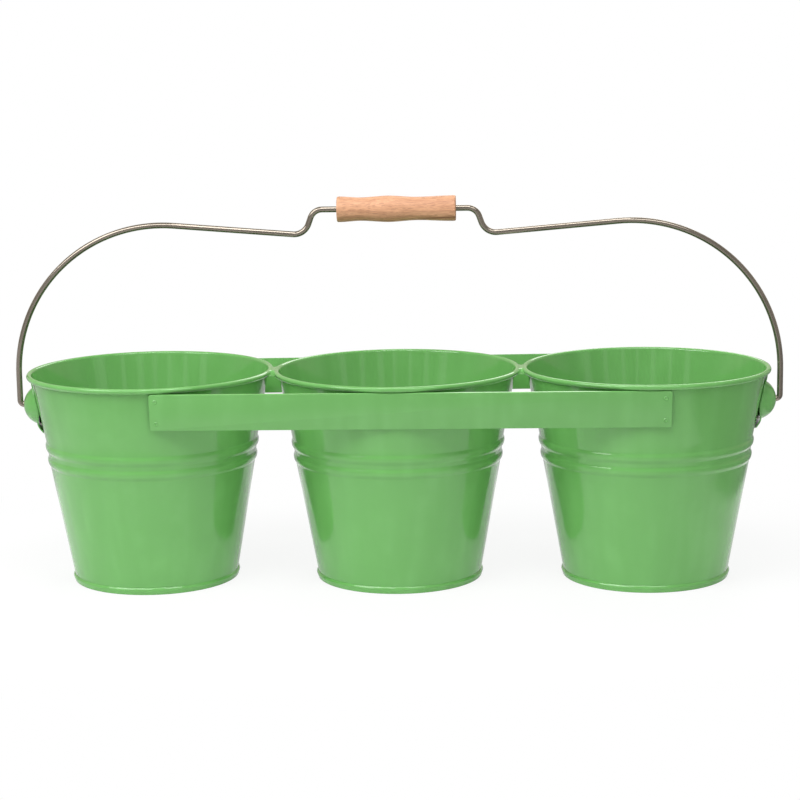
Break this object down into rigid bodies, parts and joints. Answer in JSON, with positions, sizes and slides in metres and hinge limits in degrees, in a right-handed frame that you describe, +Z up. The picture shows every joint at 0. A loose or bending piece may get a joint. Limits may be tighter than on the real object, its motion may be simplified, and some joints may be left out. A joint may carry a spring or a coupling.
{
  "type": "plant pot carrier",
  "caption": "Row of tapered painted steel plant pots joined by flat bars, with a swinging wire bail and a turned wooden grip.",
  "frame": {"origin": "on the ground, under the axis of the middle pot", "axes": "+X runs along the row of pots to the right as seen from the front, -Y is the front, +Z is up"},
  "size_m": [0.4682, 0.15, 0.2332],
  "materials": {
    "paint": "glossy green enamel on zinc-coated sheet steel",
    "wire": "bare drawn steel wire, satin with a dull grey-brown oxide",
    "wood": "plain turned beech, unvarnished"
  },
  "bodies": {
    "planter": {"left_pot_wall": "paint", "left_pot_floor": "paint", "middle_pot_wall": "paint", "middle_pot_floor": "paint", "right_pot_wall": "paint", "right_pot_floor": "paint", "left_rim_joint": "paint", "right_rim_joint": "paint", "front_bar": "paint", "rear_bar": "paint", "left_ear": "paint", "right_ear": "paint"},
    "bail": {"bail_wire": "wire"},
    "grip": {"wooden_grip": "wood"}
  },
  "joints": [
    {"name": "bail_swing", "type": "hinge", "parent": "planter", "child": "bail", "pos_m": [0, 0, 0.1078], "axis": [1, 0, 0], "range_deg": [-145, 145]},
    {"name": "grip_spin", "type": "hinge", "parent": "bail", "child": "grip", "pos_m": [0, 0, 0.2253], "axis": [1, 0, 0], "continuous": true}
  ]
}
